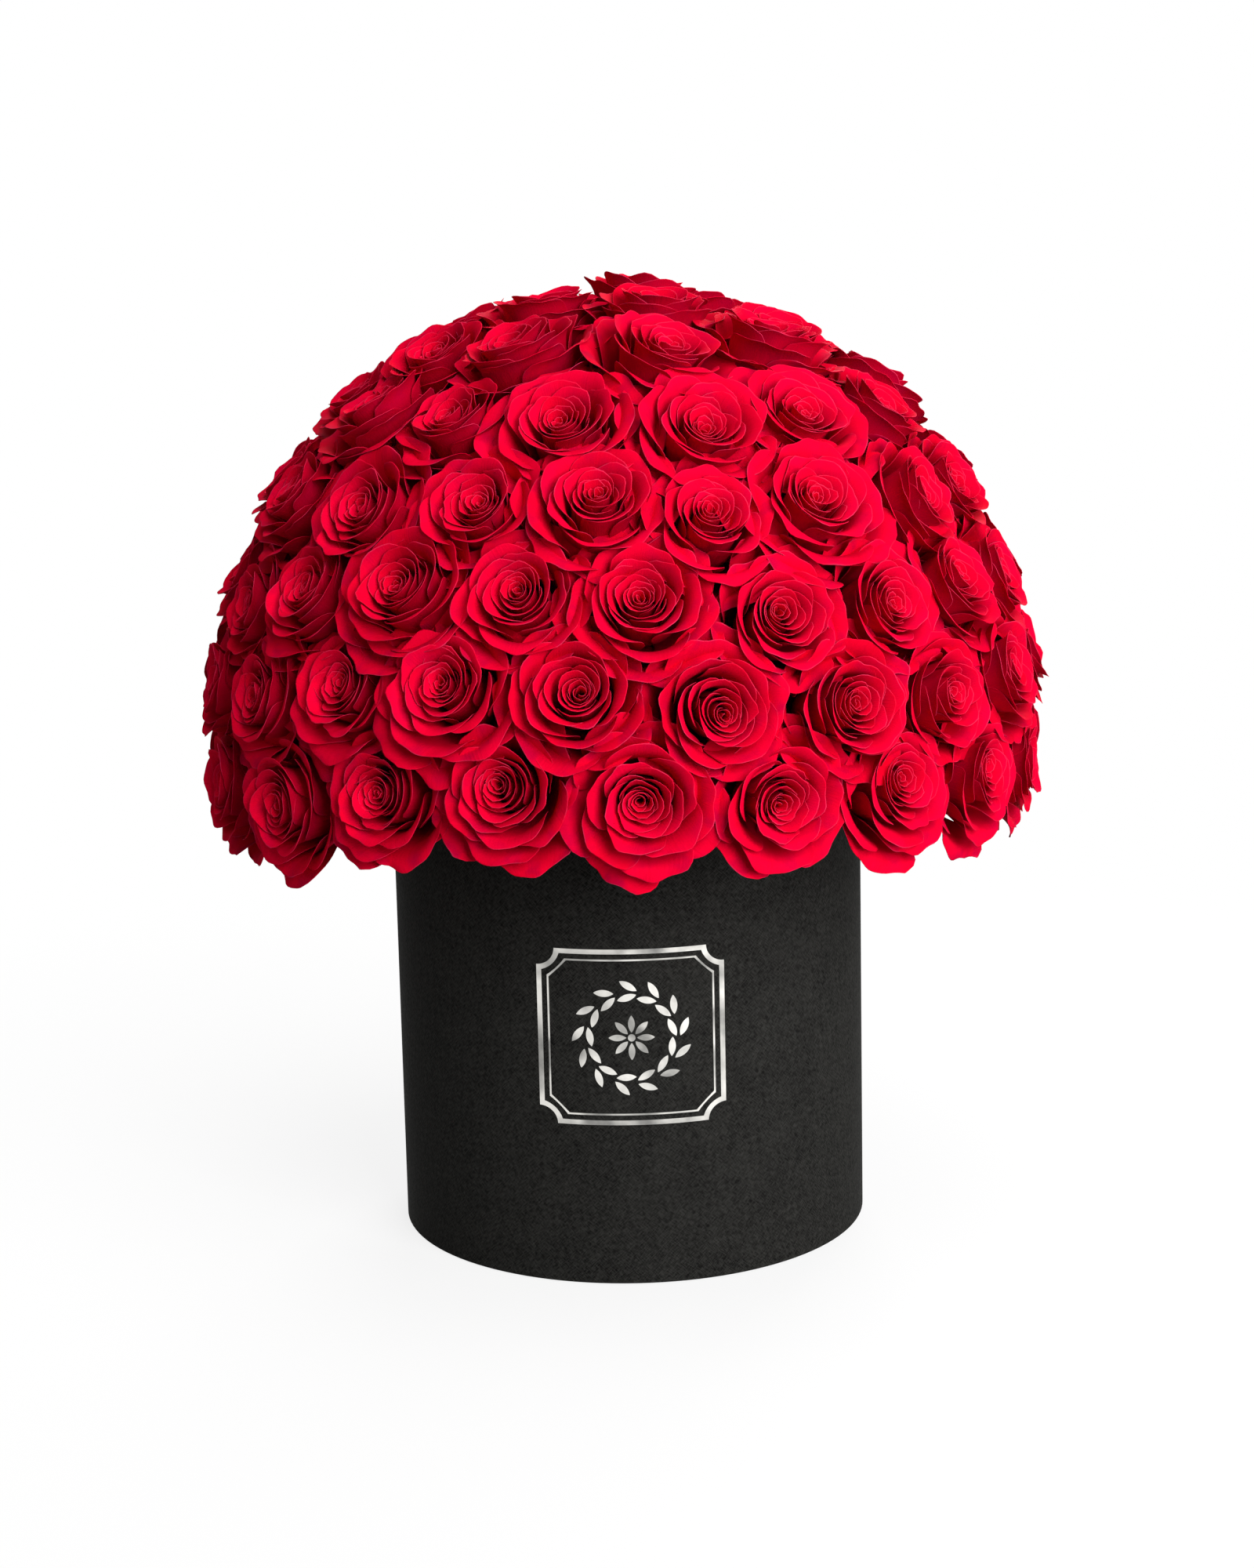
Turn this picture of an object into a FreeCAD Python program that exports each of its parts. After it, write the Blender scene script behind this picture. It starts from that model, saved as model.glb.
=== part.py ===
import FreeCAD
import Part
import math
import os
from FreeCAD import Placement, Rotation, Vector

# A round paper-covered flower box with a lift-out pot of wet foam and a dome of cut roses.
# Millimetres, +Z up, origin at the middle of the box's underside, front of the box towards -Y.

# Box
BOX_DIAMETER = 220.0
BOX_HEIGHT = 220.0
BOARD = 2.5
WRAP_PAPER = 0.4
LINING_PAPER = 0.3
RIM_TURN_IN = 16.0
BASE_HEM = 14.0

# Foil print on the front of the box
FOIL_WIDTH = 84.0
FOIL_HEIGHT = 82.0
FOIL_CENTRE_HEIGHT = 117.0
FOIL_THICKNESS = 0.1
FOIL_LINE = 2.2
FOIL_FINE_LINE = 0.8
FOIL_LINE_SPACING = 2.4
FOIL_CORNER = 8.0
WREATH_RADIUS = 21.0
WREATH_LEAF_PAIRS = 13
LEAF_LENGTH = 9.0
LEAF_WIDTH = 3.2
LEAF_SLANT = 24.0
LEAF_OFFSET = 0.9
ROSETTE_PETALS = 8
ROSETTE_EYE_RADIUS = 1.7
ROSETTE_PETAL_START = 2.4
ROSETTE_PETAL_LENGTH = 8.0
ROSETTE_PETAL_WIDTH = 3.0

# Lift-out pot and the foam in it
POT_CLEARANCE = 1.0
POT_WALL = 0.8
POT_BELOW_RIM = 8.0
POT_BEAD = 1.4
FOAM_CLEARANCE = 0.3
FOAM_SPLIT_BELOW_RIM = 20.0
FOAM_DOME_INSET = 5.0
FOAM_GRIP = 0.2
SKEWER_COUNT = 4
SKEWER_DIAMETER = 3.0
SKEWER_LENGTH = 120.0
SKEWER_RADIUS = 30.0
SKEWER_ABOVE_SPLIT = 60.0

# Dome of roses: the blooms' widest rings lie on a dome about this centre
DOME_CENTRE_ABOVE_RIM = 15.0
DOME_RADIUS = 188.0
CROWN_RISE = 8.0
SIDE_DROOP = 5.0
# Each row: degrees above the dome centre, roses in the row, degrees from the front to its first rose
ROSE_ROWS = (
    (4.0, 19, 1.9),
    (16.0, 20, 11.4),
    (28.5, 20, 4.7),
    (41.0, 17, -5.0),
    (54.0, 13, -12.0),
    (68.0, 8, 15.5),
    (82.0, 3, 30.0),
)
ROSE_SPACING = 51.0
SETTLING_PASSES = 60
BLOOM_GAP = 1.6
BLOOM_GRADE = 1.0

# One rose
STEM_DIAMETER = 6.0
STEM_IN_FOAM = 45.0
HIP_LENGTH = 12.0
HIP_DIAMETER = 12.0
SEAT_DIAMETER = 10.0
SEPAL_COUNT = 5
SEPAL_REACH = 17.0
SEPAL_DROP = 7.0
SEPAL_THICKNESS = 0.8
PETAL_THICKNESS = 1.2
PETAL_CLEARANCE = 0.3
PETALS_IN_WHORL = 5
PETAL_BELLY_SHARE = 0.68
PETAL_BELLY_HEIGHT_SHARE = 0.3
OUTER_PETAL_HEIGHT = 36.0
INNER_PETAL_HEIGHT = 42.0
BUD_HEIGHT = 46.0
BUD_DIMPLE = 14.0
INNER_WHORL_SHARE = 0.72
BUD_SHARE = 0.42
BUD_LIP_SHARE = 0.55
OUTER_NOTCH_SHARE = 0.84
INNER_NOTCH_SHARE = 0.86
ROLL_PER_ROSE = 137.5

UP = Vector(0, 0, 1)
ORIGIN = Vector(0, 0, 0)

# Box walls, worked out from the paper and the board
box_radius = BOX_DIAMETER / 2
board_outer = box_radius - WRAP_PAPER
board_inner = board_outer - BOARD
lining_inner = board_inner - LINING_PAPER
hem_top = 2 * WRAP_PAPER
board_top = BOX_HEIGHT - WRAP_PAPER
base_top = hem_top + BOARD
floor_top = base_top + LINING_PAPER
turn_in_foot = board_top - RIM_TURN_IN

# Pot and foam, worked out from the box
pot_radius = board_inner - max(WRAP_PAPER, LINING_PAPER) - POT_CLEARANCE
pot_floor = floor_top + POT_WALL
pot_top = BOX_HEIGHT - POT_BELOW_RIM
foam_radius = pot_radius - POT_WALL - FOAM_CLEARANCE
foam_split = BOX_HEIGHT - FOAM_SPLIT_BELOW_RIM
foam_dome_radius = foam_radius - FOAM_DOME_INSET
dome_centre = Vector(0, 0, BOX_HEIGHT + DOME_CENTRE_ABOVE_RIM)


def at(radius, height):
    """A point of a turned profile, in the XZ plane."""
    return Vector(radius, 0, height)


def line(start, end):
    return Part.LineSegment(start, end).toShape()


def arc(start, middle, end):
    return Part.Arc(start, middle, end).toShape()


def polyline(points):
    """Straight edges through the points and back to the first."""
    return [line(a, b) for a, b in zip(points, points[1:] + points[:1])]


def turned(edges):
    """The solid swept by a closed profile turned about Z."""
    face = Part.Face(Part.Wire(edges))
    return face.revolve(ORIGIN, UP, 360)


def tube(outer, inner, low, high):
    return turned(polyline([at(inner, low), at(outer, low), at(outer, high), at(inner, high)]))


def disc(radius, low, high):
    return Part.makeCylinder(radius, high - low, Vector(0, 0, low))


def save(name, solids):
    """Writes one node: a single solid, or a group of separate solids."""
    shape = solids[0] if len(solids) == 1 else Part.makeCompound(solids)
    shape.exportStep(os.path.join("parts", name + ".step"))


# Box


def make_outer_wrap():
    """The black cover paper, folded over the rim to the inside and under the base."""
    turn_in = board_inner - WRAP_PAPER
    profile = [
        at(box_radius, WRAP_PAPER),
        at(box_radius, BOX_HEIGHT),
        at(turn_in, BOX_HEIGHT),
        at(turn_in, turn_in_foot),
        at(board_inner, turn_in_foot),
        at(board_inner, board_top),
        at(board_outer, board_top),
        at(board_outer, hem_top),
        at(box_radius - BASE_HEM, hem_top),
        at(box_radius - BASE_HEM, WRAP_PAPER),
    ]
    return turned(polyline(profile))


def make_box():
    save("wall_tube", [tube(board_outer, board_inner, hem_top, board_top)])
    save("base_board", [disc(board_inner, hem_top, base_top)])
    save("outer_wrap", [make_outer_wrap()])
    save("base_paper", [disc(board_inner, 0, WRAP_PAPER)])
    save("wall_lining", [tube(board_inner, lining_inner, base_top, turn_in_foot)])
    save("floor_lining", [disc(lining_inner, base_top, floor_top)])


# Foil print


def drawn(x, height):
    """A point of the print, on a flat sheet in front of the box."""
    return Vector(x, -2 * box_radius, FOIL_CENTRE_HEIGHT + height)


def pressed_on(wires):
    """The drawing between an outer wire and any inner ones, as foil on the curved wall."""
    sheet = Part.Face(wires, "Part::FaceMakerBullseye").extrude(Vector(0, 2 * box_radius, 0))
    skin = tube(box_radius + FOIL_THICKNESS, box_radius, 0, BOX_HEIGHT)
    return skin.common(sheet).Solids


def border_wire(inset):
    """A rectangle with hollowed corners, drawn this far inside the print's edge."""
    half_width = FOIL_WIDTH / 2
    half_height = FOIL_HEIGHT / 2
    hollow = FOIL_CORNER + inset
    slant = hollow * math.sqrt(0.5)
    edges = []
    for sx, sz in ((1, 1), (-1, 1), (-1, -1), (1, -1)):
        corner = (sx * half_width, sz * half_height)
        beside = drawn(corner[0] - sx * inset, corner[1] - sz * hollow)
        inside = drawn(corner[0] - sx * slant, corner[1] - sz * slant)
        below = drawn(corner[0] - sx * hollow, corner[1] - sz * inset)
        ends = (beside, below) if sx * sz > 0 else (below, beside)
        edges.append((ends[0], inside, ends[1]))
    wire = []
    for (start, middle, end), (following, _, _) in zip(edges, edges[1:] + edges[:1]):
        wire.append(arc(start, middle, end))
        wire.append(line(end, following))
    return Part.Wire(wire)


def leaf_wire(x, height, angle, length, width):
    """A pointed leaf of two arcs that starts at a point and runs off at an angle."""
    along = (math.cos(angle), math.sin(angle))
    across = (-along[1], along[0])
    half = length / 2
    tip = drawn(x + length * along[0], height + length * along[1])
    stalk = drawn(x, height)
    sides = []
    for side in (width / 2, -width / 2):
        sides.append(drawn(x + half * along[0] + side * across[0], height + half * along[1] + side * across[1]))
    return Part.Wire([arc(stalk, sides[0], tip), arc(tip, sides[1], stalk)])


def make_foil():
    fine_inset = FOIL_LINE + FOIL_LINE_SPACING
    border = pressed_on([border_wire(0), border_wire(FOIL_LINE)])
    border += pressed_on([border_wire(fine_inset), border_wire(fine_inset + FOIL_FINE_LINE)])
    save("foil_border", border)

    wreath = []
    for number in range(WREATH_LEAF_PAIRS):
        turn = 2 * math.pi * number / WREATH_LEAF_PAIRS
        for side in (1, -1):
            reach = WREATH_RADIUS + side * LEAF_OFFSET
            heading = turn + math.pi / 2 - side * math.radians(LEAF_SLANT)
            leaf = leaf_wire(reach * math.cos(turn), reach * math.sin(turn), heading, LEAF_LENGTH, LEAF_WIDTH)
            wreath += pressed_on([leaf])
    save("foil_wreath", wreath)

    eye = Part.Circle(drawn(0, 0), Vector(0, 1, 0), ROSETTE_EYE_RADIUS).toShape()
    rosette = pressed_on([Part.Wire([eye])])
    for number in range(ROSETTE_PETALS):
        turn = 2 * math.pi * number / ROSETTE_PETALS
        start = (ROSETTE_PETAL_START * math.cos(turn), ROSETTE_PETAL_START * math.sin(turn))
        petal = leaf_wire(start[0], start[1], turn, ROSETTE_PETAL_LENGTH, ROSETTE_PETAL_WIDTH)
        rosette += pressed_on([petal])
    save("foil_rosette", rosette)


# Roses: where each one stands


def rose_direction(elevation, azimuth):
    """The way a rose faces, seen from the dome's centre. Azimuth 0 is the front."""
    drooped = math.radians(elevation - SIDE_DROOP * math.sin(math.radians(azimuth)) ** 2)
    turn = math.radians(azimuth)
    level = math.cos(drooped)
    return Vector(level * math.sin(turn), -level * math.cos(turn), math.sin(drooped))


def bloom_place(direction):
    """The middle of the bloom's widest ring."""
    return dome_centre + direction * (DOME_RADIUS + CROWN_RISE * direction.z**2)


def settled(directions):
    """The directions after blooms that stand too close have pushed each other apart."""
    for _ in range(SETTLING_PASSES):
        places = [bloom_place(d) for d in directions]
        pushed = []
        for me, place in enumerate(places):
            push = Vector(0, 0, 0)
            for other, neighbour in enumerate(places):
                away = place - neighbour
                if other != me and away.Length < ROSE_SPACING:
                    push += away * ((ROSE_SPACING - away.Length) / away.Length / 4)
            pushed.append((place + push - dome_centre).normalize())
        directions = pushed
    return directions


def plan_roses():
    """Each row's roses as (direction, distance of the widest ring from the dome's centre, bloom radius)."""
    started = []
    for elevation, count, first in ROSE_ROWS:
        started += [rose_direction(elevation, first + 360 * n / count) for n in range(count)]
    directions = settled(started)
    places = [bloom_place(d) for d in directions]
    roses = []
    for me, place in enumerate(places):
        nearest = min(place.distanceToPoint(p) for other, p in enumerate(places) if other != me)
        grade = math.floor((nearest - BLOOM_GAP) / BLOOM_GRADE)
        roses.append((directions[me], (place - dome_centre).Length, grade * BLOOM_GRADE / 2))
    rows = []
    for _, count, _ in ROSE_ROWS:
        rows.append(roses[:count])
        roses = roses[count:]
    return rows


def placed(shape, direction, distance, roll):
    """A copy of a shape drawn upright on the origin, stood on the dome at this distance from its centre."""
    copy = shape.copy()
    facing = Rotation(UP, direction).multiply(Rotation(UP, roll))
    copy.Placement = Placement(dome_centre + direction * distance, facing)
    return copy


# Roses: the pieces of one, drawn upright with the seat of the bloom at the origin


def lobed_prism(radius, notch, lobes, height):
    """A column whose outline has round lobes between notches."""
    step = 2 * math.pi / lobes
    edges = []
    for number in range(lobes):
        corners = []
        for turn, reach in ((number - 0.5, notch), (number, radius), (number + 0.5, notch)):
            corners.append(Vector(reach * math.cos(turn * step), reach * math.sin(turn * step), 0))
        edges.append(arc(*corners))
    return Part.Face(Part.Wire(edges)).extrude(Vector(0, 0, height))


def make_whorl(radius, seat, foot, rim, notch_share):
    """One ring of petals: a cup that opens upwards from its seat, notched between its petals."""
    belly = PETAL_BELLY_SHARE * radius
    belly_height = foot + PETAL_BELLY_HEIGHT_SHARE * (rim - foot)
    floor = foot + PETAL_THICKNESS
    edges = [
        line(at(0, foot), at(seat, foot)),
        arc(at(seat, foot), at(belly, belly_height), at(radius, rim)),
        line(at(radius, rim), at(radius - PETAL_THICKNESS, rim)),
        arc(
            at(radius - PETAL_THICKNESS, rim),
            at(belly - PETAL_THICKNESS, belly_height + PETAL_THICKNESS / 2),
            at(seat - PETAL_THICKNESS, floor),
        ),
        line(at(seat - PETAL_THICKNESS, floor), at(0, floor)),
        line(at(0, floor), at(0, foot)),
    ]
    cup = turned(edges)
    return cup.common(lobed_prism(radius, notch_share * radius, PETALS_IN_WHORL, rim))


def make_bud(radius, seat, foot):
    """The rolled heart of the bloom, with a dimple where its petals open."""
    lip = BUD_LIP_SHARE * radius
    middle = (foot + BUD_HEIGHT) / 2
    edges = [
        line(at(0, foot), at(seat, foot)),
        arc(at(seat, foot), at(radius, middle), at(lip, BUD_HEIGHT)),
        line(at(lip, BUD_HEIGHT), at(0, BUD_HEIGHT - BUD_DIMPLE)),
        line(at(0, BUD_HEIGHT - BUD_DIMPLE), at(0, foot)),
    ]
    return turned(edges)


def make_calyx():
    """The green hip under the bloom with its pointed sepals bent down."""
    seat = SEAT_DIAMETER / 2
    stem = STEM_DIAMETER / 2
    hip = turned(
        [
            line(at(0, -HIP_LENGTH), at(stem, -HIP_LENGTH)),
            arc(at(stem, -HIP_LENGTH), at(HIP_DIAMETER / 2, -HIP_LENGTH / 2), at(seat, 0)),
            line(at(seat, 0), at(0, 0)),
            line(at(0, 0), at(0, -HIP_LENGTH)),
        ]
    )
    top = -SEPAL_THICKNESS
    skirt = turned(
        polyline(
            [
                at(stem, top),
                at(seat, top),
                at(SEPAL_REACH, -SEPAL_DROP),
                at(SEPAL_REACH, -SEPAL_DROP - SEPAL_THICKNESS),
                at(seat, top - SEPAL_THICKNESS),
                at(stem, top - SEPAL_THICKNESS),
            ]
        )
    )
    star = []
    for number in range(2 * SEPAL_COUNT):
        reach = seat if number % 2 else SEPAL_REACH
        turn = math.pi * number / SEPAL_COUNT
        star.append(Vector(reach * math.cos(turn), reach * math.sin(turn), -HIP_LENGTH))
    prism = Part.Face(Part.Wire(polyline(star))).extrude(Vector(0, 0, HIP_LENGTH))
    return hip.fuse(skirt.common(prism)).removeSplitter()


def make_bloom(radius):
    """The outer petals, the inner petals and the bud of a bloom this wide, seated in each other."""
    inner_radius = INNER_WHORL_SHARE * radius
    outer_seat = SEAT_DIAMETER / 2
    inner_seat = outer_seat - PETAL_THICKNESS - PETAL_CLEARANCE
    bud_seat = inner_seat - PETAL_THICKNESS - PETAL_CLEARANCE
    outer = make_whorl(radius, outer_seat, 0, OUTER_PETAL_HEIGHT, OUTER_NOTCH_SHARE)
    inner = make_whorl(inner_radius, inner_seat, PETAL_THICKNESS, INNER_PETAL_HEIGHT, INNER_NOTCH_SHARE)
    bud = make_bud(BUD_SHARE * radius, bud_seat, 2 * PETAL_THICKNESS)
    return outer, inner, bud


def make_roses(rows):
    calyx = make_calyx()
    blooms = {radius: make_bloom(radius) for radius in {rose[2] for row in rows for rose in row}}
    foot = foam_dome_radius - STEM_IN_FOAM
    half_petal = 180 / PETALS_IN_WHORL
    stem_holes = []
    number = 0
    for row, roses in enumerate(rows, 1):
        stems, calyxes, outers, inners, buds = [], [], [], [], []
        for direction, distance, radius in roses:
            seat = distance - OUTER_PETAL_HEIGHT
            roll = ROLL_PER_ROSE * number
            number += 1
            outer, inner, bud = blooms[radius]
            stem = Part.makeCylinder(STEM_DIAMETER / 2, seat - HIP_LENGTH - foot)
            hole = Part.makeCylinder(STEM_DIAMETER / 2 - FOAM_GRIP, DOME_RADIUS - foot)
            stems.append(placed(stem, direction, foot, roll))
            stem_holes.append(placed(hole, direction, foot, roll))
            calyxes.append(placed(calyx, direction, seat, roll))
            outers.append(placed(outer, direction, seat, roll))
            inners.append(placed(inner, direction, seat, roll + half_petal))
            buds.append(placed(bud, direction, seat, roll))
        save(f"rose_row_{row}_stems", stems)
        save(f"rose_row_{row}_calyxes", calyxes)
        save(f"rose_row_{row}_outer_petals", outers)
        save(f"rose_row_{row}_inner_petals", inners)
        save(f"rose_row_{row}_buds", buds)
    return stem_holes


# Pot and foam


def make_pot():
    """A thin plastic pot with a rolled bead at its rim."""
    inner = pot_radius - POT_WALL
    bead = pot_radius - POT_BEAD
    profile = [
        at(0, floor_top),
        at(pot_radius, floor_top),
        at(pot_radius, pot_top),
        at(bead, pot_top),
        at(bead, pot_top - POT_BEAD),
        at(inner, pot_top - POT_BEAD),
        at(inner, pot_floor),
        at(0, pot_floor),
    ]
    return turned(polyline(profile))


def skewers(radius):
    """The sticks that pin the foam dome to the block below it, at this radius."""
    foot = foam_split + SKEWER_ABOVE_SPLIT - SKEWER_LENGTH
    sticks = []
    for number in range(SKEWER_COUNT):
        turn = 2 * math.pi * (number + 0.5) / SKEWER_COUNT
        place = Vector(SKEWER_RADIUS * math.cos(turn), SKEWER_RADIUS * math.sin(turn), foot)
        sticks.append(Part.makeCylinder(radius, SKEWER_LENGTH, place))
    return sticks


def make_pot_and_foam(stem_holes):
    skewer_holes = skewers(SKEWER_DIAMETER / 2 - FOAM_GRIP)
    block = disc(foam_radius, pot_floor, foam_split)
    ball = Part.makeSphere(foam_dome_radius, dome_centre)
    below = disc(2 * foam_dome_radius, dome_centre.z - 2 * foam_dome_radius, foam_split)
    dome = ball.cut(below)
    save("liner_pot", [make_pot()])
    save("foam_block", [block.cut(skewer_holes)])
    save("foam_dome", [dome.cut(stem_holes + skewer_holes)])
    save("foam_skewers", skewers(SKEWER_DIAMETER / 2))


os.makedirs("parts", exist_ok=True)
make_box()
make_foil()
make_pot_and_foam(make_roses(plan_roses()))
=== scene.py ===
import math
import random

import bpy
import numpy as np
from mathutils import Matrix, Vector


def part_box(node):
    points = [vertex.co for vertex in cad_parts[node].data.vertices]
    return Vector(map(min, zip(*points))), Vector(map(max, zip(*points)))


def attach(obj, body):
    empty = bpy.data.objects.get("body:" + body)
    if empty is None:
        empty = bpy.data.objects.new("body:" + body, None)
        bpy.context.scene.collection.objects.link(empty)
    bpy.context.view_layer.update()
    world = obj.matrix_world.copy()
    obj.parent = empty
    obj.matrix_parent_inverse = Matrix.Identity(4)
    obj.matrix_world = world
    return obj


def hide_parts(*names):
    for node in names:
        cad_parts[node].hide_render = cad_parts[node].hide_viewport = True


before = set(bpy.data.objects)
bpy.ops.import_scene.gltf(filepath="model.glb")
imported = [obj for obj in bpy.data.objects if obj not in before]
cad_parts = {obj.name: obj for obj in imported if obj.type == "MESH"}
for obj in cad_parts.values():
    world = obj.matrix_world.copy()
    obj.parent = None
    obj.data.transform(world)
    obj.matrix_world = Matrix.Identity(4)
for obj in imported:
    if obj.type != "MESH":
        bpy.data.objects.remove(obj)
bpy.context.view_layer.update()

MM = 0.001

# A little over a full turn in radians, for turns and phases drawn at random
ANY_TURN = 6.3

# Camera: fitted to the edges and the base of the box in the photograph, with lens and sensor in millimetres
CAMERA_TARGET = Vector((0.0004, 0, 0.2077))
CAMERA_DISTANCE = 1.659
CAMERA_ELEVATION = math.radians(13.2)
CAMERA_ROLL = math.radians(-1.26)
CAMERA_LENS = 80.8
CAMERA_SENSOR = 36

# Even light from all round, as a share of the white background
FILL_LIGHT = 0.17

# Softboxes: place and size in metres, power in watts, and the point that they all aim at
SOFTBOXES = {
    "key_softbox": ((1.0, -1.8, 1.2), (1.4, 1.5), 60),
    "top_softbox": ((0.2, -0.35, 2.4), (1.4, 1.4), 18),
    "side_softbox": ((1.6, -0.6, 0.1), (0.4, 0.5), 10),
    "back_softbox": ((0.4, 1.9, 1.0), (1.2, 1.2), 36),
}
LIGHT_TARGET = Vector((0, 0, 0.24))

# Floor in metres: half its side, its drop under the box, and where the shadow starts to fade and has gone
FLOOR_HALF = 9
FLOOR_DROP = 0.0002
FADE_START = 0.1
FADE_END = 0.7

# How much of the floor near the box is plain white to the camera, and so hides the shadow
FLOOR_GLOW = 0.82

# Roses: their rows from the rim of the box to the crown, and the solids of a row that they replace
ROSE_ROWS = 7
ROSE_SOLIDS = ("outer_petals", "inner_petals", "buds", "calyxes")

# Models of a rose: how many there are, the step from one rose's model to the next, and how far they open
ROSE_MODELS = 14
MODEL_STEP = 5
LEAST_OPENING = 0.2
OPENING_RANGE = 0.6
OPENING_STEPS = 5
OPENING_SCATTER = 0.05
HALF_OPEN = 0.5
MODEL_SEED = 101
PLANTING_SEED = 7

# One rose in millimetres and degrees: how its petals change along the spiral from the heart to the guard
# petals. A lean is measured from the axis of the rose.
SPIRAL = (0.0, 0.2, 0.5, 0.62, 0.78, 1.0)
RIM_RADIUS = (1.6, 6.5, 16.5, 21.5, 28.5, 36.0)
RIM_HEIGHT = (38.5, 40.5, 42.0, 40.2, 34.5, 26.0)
HALF_WIDTH = (10, 15, 21, 25, 29, 32)
FOOT_LEAN = (10, 32, 55, 62, 68, 76)
LIP_LEAN = (8, 36, 62, 74, 92, 110)

# Petals on the spiral: heart petals fill the first share of it
HEART_PETALS = 18
OPEN_PETALS = 15
HEART_SHARE = 0.5
GOLDEN_ANGLE = math.radians(137.5)
TURN_SCATTER = 9
PETAL_TILT = 3
HEART_TILT = 8
HEART_OVAL = (0.84, 1.0)

# Points across and along a petal in the tight bud, in the rest of the heart and outside it
BUD_SHARE = 0.2
BUD_GRID = (11, 9)
HEART_GRID = (15, 10)
OPEN_GRID = (21, 13)
ROW_SPACING = 0.85

# Thickness of a petal in millimetres, the share of it lost at the free edge, and where that starts
PETAL_THICKNESS = 0.36
EDGE_THINNING = 0.5
THINNING_START = 0.8
# Where the narrow strip at the free edge starts, which carries a painted highlight in the petal colour
EDGE_STRIP = 0.985

# Outline of a petal in shares of its length and half its width: a tip that wanders, fine waves, and
# corners that drop away, most of all near the heart
TIP_HEIGHT = 0.05
TIP_WANDER = 0.3
TIP_WIDTH = 0.28
FRAY = 0.010
FRAY_GAIN = 0.001
FRAY_WAVES = (2, 7)
CORNER_DROP = 0.2
CORNER_DROP_LOSS = 0.07
CORNER_CURVE = 2.6
SHOULDER_LOSS = 0.65
SHOULDER_CURVE = 5

# Cup of a petal: its foot in millimetres, the pull of both ends on its arch, and its turn about the axis
FOOT_RADIUS = 0.8
FOOT_RADIUS_GAIN = 2.6
ARCH_PULL = (0.46, 0.26)
WIDTH_SCATTER = (0.92, 1.08)
LEAST_RIM = 1.0
MOST_WRAP = 2.2
FOOT_WIDTH = 0.4
FULL_WIDTH_AT = 0.6

# What a wide open rose adds to the rim of a petal, and the scatter of the rim, more so in loose petals
OPEN_RADIUS = 0.2
OPEN_DROP = 4
OPEN_LEAN = 45
HEART_LOOSENESS = 0.3
RADIUS_SCATTER = 0.9
HEIGHT_SCATTER = 1.3
LEAN_SCATTER = 14
MIDDLE_LEAN = 0.85
CORNER_LEAN = 0.45

# Overlap with the next petal, flare of the sides, and waves: broad sway and fine crimp, in millimetres
OVERLAP = 0.1
SIDE_FLARE = 1.6
FLARE_SPAN = (0.2, 0.8)
WAVE_PITCH = 1.8
SWAY_WAVES = (1, 4)
SWAY_DRIFT = 2.2
SWAY_OUT = 0.55
SWAY_OUT_START = 0.25
SWAY_UP = 0.5
SWAY_UP_START = 0.5
CRIMP_WAVES = (4, 8)
CRIMP_DRIFT = 3.0
CRIMP_START = 0.6
CRIMP_OUT = 0.22
CRIMP_UP = 0.35

# Tone of a petal: how much less it varies outside, and how much brighter an open rose is
TONE_LOSS = 0.4
OPEN_TONE = 0.4

# Calyx in millimetres and degrees: pointed sepals bent back under the bloom, and the hip below them
SEPALS = 5
SEPAL_GRID = (7, 12)
SEPAL_LENGTH = (22, 32)
SEPAL_DROP = (20, 55)
SEPAL_SEAT = (4.2, -1.6)
SEPAL_SEAT_LEAN = 80
SEPAL_END_LEAN = (120, 170)
SEPAL_PULL = (0.4, 0.3)
SEPAL_HALF_WIDTH = 4.2
SEPAL_TAPER = 1.4
SEPAL_WAIST = 0.25
SEPAL_WAIST_PITCH = 9
SEPAL_POINT = 0.25
SEPAL_KEEL = 1.2
SEPAL_TURN_SCATTER = 0.1
SEPAL_THICKNESS = 0.6
HIP_LENGTH = 12.0
HIP_GRID = (25, 9)
HIP_NECK = 3.0
HIP_SWELL = 3.2
HIP_CURVE = 0.8
HIP_THICKNESS = 1.0

# Order of the finishes on a rose's mesh
PETAL_FINISH = 0
CALYX_FINISH = 1

# Roses in the dome, in metres and degrees: how far they turn up to the light, the room that one of plain
# size takes, how much one at the crown may grow, how near another rose crowds it and how far it leans away
LOOK_UP = 0.12
USUAL_ROOM = 0.0365
NEIGHBOURS = 5
CROWN_GROWTH = 0.14
CROWDING_REACH = 0.046
LEAN_TO_ROOM = 0.24
NOD = 7
SIZE_SCATTER = (0.96, 1.04)

# Stems read from the solids: digits of a metre to which points are welded, and the rise of a line that
# points out of the dome from its axis
WELD_DIGITS = 6
OUTWARD_RISE = 0.04


class Value:
    """A socket of a finish. Arithmetic on it adds Math nodes."""

    def __init__(self, finish, socket):
        self.finish = finish
        self.socket = socket

    def maths(self, operation, first, second):
        return self.finish.node("ShaderNodeMath", {"operation": operation}, {0: first, 1: second})

    def __add__(self, other):
        return self.maths("ADD", self, other)

    def __radd__(self, other):
        return self.maths("ADD", other, self)

    def __sub__(self, other):
        return self.maths("SUBTRACT", self, other)

    def __rsub__(self, other):
        return self.maths("SUBTRACT", other, self)

    def __mul__(self, other):
        return self.maths("MULTIPLY", self, other)

    def __rmul__(self, other):
        return self.maths("MULTIPLY", other, self)

    def __pow__(self, other):
        return self.maths("POWER", self, other)


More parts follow.
